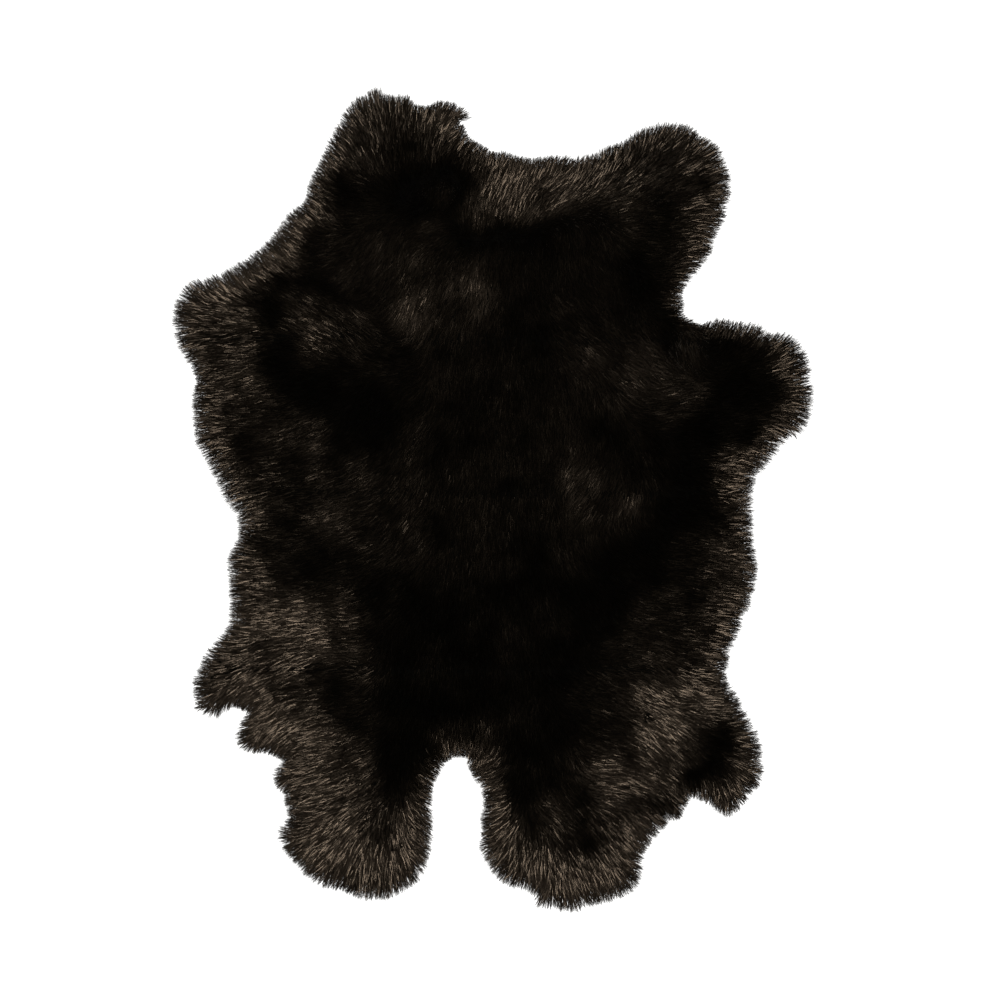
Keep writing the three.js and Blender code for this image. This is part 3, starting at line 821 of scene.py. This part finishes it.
HAIR_INPUTS = [
    ("Strand", "NodeSocketObject"), ("Hairs", "NodeSocketFloat"), ("Where", "NodeSocketString"),
    ("From", "NodeSocketFloat"), ("To", "NodeSocketFloat"), ("Width", "NodeSocketFloat"),
    ("Length", "NodeSocketFloat"), ("Shortest", "NodeSocketFloat"), ("Upright", "NodeSocketFloat"),
    ("Tousle", "NodeSocketFloat"), ("Lock", "NodeSocketFloat"), ("Gather", "NodeSocketFloat"),
    ("Droop", "NodeSocketFloat"), ("Shade", "NodeSocketFloat"), ("Seed", "NodeSocketInt"),
    ("Finish", "NodeSocketMaterial"),
]
print("hair tree's inputs:", len(HAIR_INPUTS))


# %% The hair tree
def hair_tree():
    """The Geometry Nodes tree that grows strands over a surface which carries its combing."""
    tree = bpy.data.node_groups.new("hair_over_a_skin", "GeometryNodeTree")
    tree.interface.new_socket("Geometry", in_out="INPUT", socket_type="NodeSocketGeometry")
    for name, kind in HAIR_INPUTS:
        tree.interface.new_socket(name, in_out="INPUT", socket_type=kind)
    tree.interface.new_socket("Geometry", in_out="OUTPUT", socket_type="NodeSocketGeometry")
    wire = Wire(tree)
    entry = wire.node("NodeGroupInput")
    size = {name: entry.beside(name) for name, _ in HAIR_INPUTS}

    def read(name, kind="FLOAT_VECTOR"):
        return wire.node("GeometryNodeInputNamedAttribute", {"data_type": kind}, {"Name": name})

    def store(geometry, name, value, kind="FLOAT_VECTOR", domain="POINT"):
        return wire.node("GeometryNodeStoreNamedAttribute", {"data_type": kind, "domain": domain},
                         {"Geometry": geometry, "Name": name, "Value": value})

    def chance(low, high, stream):
        return wire.node("FunctionNodeRandomValue", {"data_type": "FLOAT"},
                         {2: low, 3: high, 8: size["Seed"] + stream}, out=1)

    # Scatter the roots.
    height = wire.node("GeometryNodeInputPosition").split()[1]
    in_band = height.math("GREATER_THAN", size["From"]) * height.math("LESS_THAN", size["To"])
    density = size["Hairs"] * read(size["Where"], "FLOAT") * in_band
    points = wire.node("GeometryNodeDistributePointsOnFaces", values={
        "Mesh": entry, "Density": density, "Seed": size["Seed"]})

    # Each root's own hair: its way, its arc, its place in a lock and its tone, browner where it shines, as
    # partly painted sheen.
    root = wire.node("GeometryNodeInputPosition")
    way_x, way_y, shine = read("way").split()
    first, rise, length = read("bend").split()
    lock = wire.node("ShaderNodeTexVoronoi", {"feature": "F1"}, {"Vector": root, "Scale": 1 / size["Lock"]})
    lock_chance = lock.beside("Color").split()
    to_lock = lock.beside("Position").vector("SUBTRACT", root).scaled(size["Gather"])
    pull_x, pull_y, _ = to_lock.split()
    swirl = wire.node("ShaderNodeTexNoise", values={"Vector": root, "Scale": SWIRLS, "Detail": 1.0})
    heading = way_y.math("ARCTAN2", way_x) + size["Tousle"] * (
        chance(-1, 1, 1) + (lock_chance[0] - 0.5) * LOCK_TURN + (swirl - 0.5) * SWIRL_TURN)
    curl = chance(-CURL, CURL, 2)
    ruffle = wire.node("ShaderNodeTexNoise", values={"Vector": root, "Scale": RUFFLES, "Detail": 1.5})
    lock_lift, ruffle_lift = (lock_chance[1] - 0.5) * LOCK_LIFT, (ruffle - 0.5) * RUFFLE_LIFT
    unrest = chance(LIFT_LEAST, LIFT_MOST, 3) + lock_lift + ruffle_lift
    restless = shine * (1 - shine) * LIFT_HALF_FLAT + LIFT_ALWAYS
    own_rise = rise * size["Upright"] + unrest * restless - size["Droop"]
    foot_lift = (lock_chance[2] - 0.5) * LOCK_FOOT_LIFT
    own_first = first * size["Upright"] + chance(-FOOT_LIFT, FOOT_LIFT, 4) + foot_lift
    own_length = length * size["Length"] * chance(size["Shortest"], LENGTH_MOST, 5)
    # The tone runs from black to brown with the shine, so the brown is partly painted sheen.
    own_tone_and_sheen = shine + chance(-HAIR_SHADE, HAIR_SHADE, 6) + size["Shade"] + (swirl - 0.5) * SWIRL_SHADE
    hair_tone_and_sheen = own_tone_and_sheen.math("MAXIMUM", 0.0).math("MINIMUM", 1.0)
    hairs = store(points, "root", root)
    hairs = store(hairs, "aim", wire.join(heading, curl, hair_tone_and_sheen))
    hairs = store(hairs, "arc", wire.join(own_first, own_rise, own_length))
    hairs = store(hairs, "pull", wire.join(pull_x, pull_y, chance(THINNEST, THICKEST, 7)))
    strand_mesh = wire.node("GeometryNodeObjectInfo", values={"Object": size["Strand"]}, out="Geometry")
    stood = wire.node("GeometryNodeInstanceOnPoints", values={
        "Points": hairs, "Instance": strand_mesh, "Rotation": wire.join(0.0, 0.0, chance(0, math.tau, 8))})
    real = wire.node("GeometryNodeRealizeInstances", values={"Geometry": stood})

    # The map for the finish: across is the tone, browner where the hair shines, so partly painted sheen; up
    # is from root to tip.
    root = read("root")
    across, side, along = wire.node("GeometryNodeInputPosition").vector("SUBTRACT", root).split()
    heading, curl, hair_tone_and_sheen = read("aim").split()
    map_across = hair_tone_and_sheen * (1 - 4 * MAP_WIDE) + 2 * MAP_WIDE + across * MAP_WIDE
    map_up = along * (1 - 2 * MAP_LOW) + MAP_LOW
    real = store(real, HAIR_MAP, wire.join(map_across, map_up, 0.0), "FLOAT2", "CORNER")

    # Bend every strand along its arc.
    first, rise, length = read("arc").split()
    pull_x, pull_y, thick = read("pull").split()
    way = heading + curl * along
    cos_way, sin_way = way.math("COSINE"), way.math("SINE")
    mean = first + (rise - first) * along * 0.5
    slope = first + (rise - first) * along
    reach, climb = length * along * mean.math("COSINE"), length * along * mean.math("SINE")
    gather = along ** GATHER_POWER
    wide = size["Width"] * thick * 0.5
    out, up = across * wide, side * wide
    root_x, root_y, root_z = root.split()
    x = root_x + reach * cos_way + pull_x * gather - out * sin_way - up * slope.math("SINE") * cos_way
    y = root_y + reach * sin_way + pull_y * gather + out * cos_way - up * slope.math("SINE") * sin_way
    z = (root_z + climb).math("MAXIMUM", CLEAR_OF_TABLE) + up * slope.math("COSINE")
    bent = wire.node("GeometryNodeSetPosition", values={"Geometry": real, "Position": wire.join(x, y, z)})
    finished = wire.node("GeometryNodeSetMaterial", values={"Geometry": bent, "Material": size["Finish"]})
    leave = tree.nodes.new("NodeGroupOutput")
    wire.plug(leave.inputs[0], finished)
    return tree


hair_nodes = hair_tree()
print("hair tree:", len(hair_nodes.nodes), "nodes")

# %% Grow hair
GUIDES = ("root", "aim", "arc", "pull", "way", "bend", "cover", "fringe", "id")


def grow(name, **sizes):
    """Runs the hair tree over the underfur and keeps what grew as a plain piece."""
    holder = bpy.data.objects.new(name + "_roots", grown_from)
    bpy.context.scene.collection.objects.link(holder)
    modifier = holder.modifiers.new("hair", "NODES")
    modifier.node_group = hair_nodes
    for socket in hair_nodes.interface.items_tree:
        if socket.in_out == "INPUT" and socket.name in sizes:
            modifier[socket.identifier] = sizes[socket.name]
    graph = bpy.context.evaluated_depsgraph_get()
    mesh = bpy.data.meshes.new_from_object(holder.evaluated_get(graph))
    bpy.data.objects.remove(holder)
    for guide in [layer.name for layer in mesh.attributes if layer.name in GUIDES]:
        mesh.attributes.remove(mesh.attributes[guide])
    mesh.name = name
    mesh.polygons.foreach_set("use_smooth", [False] * len(mesh.polygons))
    print(name + ":", len(mesh.polygons), "triangles")
    return show(name, mesh)


# %% [markdown]
# ## The fur's finish
# Black rabbit hair isn't quite black: the tips on the belly, the feet and the rim are a warm
# brown-black, and each hair has a fine gloss. The brown is laid where the comb's shine is high, so
# it is partly that warmer hair and partly painted sheen of flat hair under the lamp. The colour runs
# over the hair's own map, from black to brown across it and from the dark root to the lighter tip
# up it, so every hair can differ.

# %% Hair finishes
HAIR_IOR, GLOSS_TINT = 1.55, (1.0, 0.76, 0.55, 1)
MIDDLE_AT, MIDDLE_BLACK, MIDDLE_BROWN = 0.55, 0.55, 0.25
BLACK = (0.0003, 0.0003, 0.00012)


def fur_finish(name, brown, tip_gain, root_rough, tip_rough, gloss):
    """A hair finish: its brown (partly painted sheen), how much lighter the tips are, both ends' roughness,
    and its gloss.
    """
    glossy = {"IOR": HAIR_IOR, "Specular_IOR_Level": gloss, "Specular_Tint": GLOSS_TINT}
    material, wire, shader = new_material(name, **glossy)
    across, up, _ = wire.node("ShaderNodeUVMap", {"uv_map": HAIR_MAP}).split()
    middle = tuple(MIDDLE_BLACK * dark + MIDDLE_BROWN * warm for dark, warm in zip(BLACK, brown))
    colour_and_sheen = across.ramp([(0.0, BLACK), (MIDDLE_AT, middle), (1.0, brown)])
    lift = up * tip_gain + (1 - tip_gain * 0.5)
    wire.plug(shader.inputs["Base Color"], colour_and_sheen.times_colour(wire.join(lift, lift, lift)))
    wire.plug(shader.inputs["Roughness"], up * (tip_rough - root_rough) + root_rough)
    return material


# Each brown is reached where flat hair shines, so it is partly painted sheen.
guard_finish = fur_finish("guard_hair", (0.016, 0.0119, 0.0084), 0.8, 0.34, 0.25, 0.47)
wool_finish = fur_finish("wool_hair", (0.008, 0.0059, 0.0040), 0.6, 0.6, 0.40, 0.2)
print("finishes:", guard_finish.name, "and", wool_finish.name)

# %% Grow the layers
BANDS = ("rump", "loin", "shoulders", "nape")
PAST_THE_SKIN = 1.0
marks = [-PAST_THE_SKIN, *np.quantile(net_points[:, 1], [0.25, 0.5, 0.75]), PAST_THE_SKIN]
TOTAL_WOOL, TOTAL_GUARD, TOTAL_FRINGE = 40000, 140000, 24000
WOOL_SEED, GUARD_SEED, FRINGE_SEED = 11, 71, 51
fringe_area = float(near_rim.mean()) * skin_area

WOOL_HAIR = {
    "Strand": coat_strand, "Finish": wool_finish, "Where": "cover", "Hairs": TOTAL_WOOL / skin_area,
    "Width": 0.55 * MM, "Length": 0.75, "Shortest": 0.6, "Upright": 1.0, "Tousle": 0.30,
    "Lock": 4 * MM, "Gather": 0.12, "Droop": -0.12, "Shade": -0.08,
}
GUARD_HAIR = {
    "Strand": coat_strand, "Finish": guard_finish, "Where": "cover", "Hairs": TOTAL_GUARD / skin_area,
    "Width": 0.38 * MM, "Length": 0.9, "Shortest": 0.7, "Upright": 1.0, "Tousle": 0.14,
    "Lock": 3 * MM, "Gather": 0.1, "Droop": 0.0, "Shade": 0.0,
}
FRINGE_HAIR = {
    "Strand": fringe_strand, "Finish": wool_finish, "Where": "fringe", "Hairs": TOTAL_FRINGE / fringe_area,
    "Width": 0.34 * MM, "Length": 1.0, "Shortest": 0.88, "Upright": 0.2, "Tousle": 0.26,
    "Lock": 1.5 * MM, "Gather": 0.03, "Droop": 0.1, "Shade": -0.05,
}

for number, band in enumerate(BANDS):
    ends = {"From": float(marks[number]), "To": float(marks[number + 1])}
    grow("wool_" + band, Seed=WOOL_SEED + number, **ends, **WOOL_HAIR)
    grow("guard_" + band, Seed=GUARD_SEED + number, **ends, **GUARD_HAIR)
grow("fringe", Seed=FRINGE_SEED, From=-PAST_THE_SKIN, To=PAST_THE_SKIN, **FRINGE_HAIR)
for spare in (coat_strand, fringe_strand):
    bpy.data.objects.remove(spare)
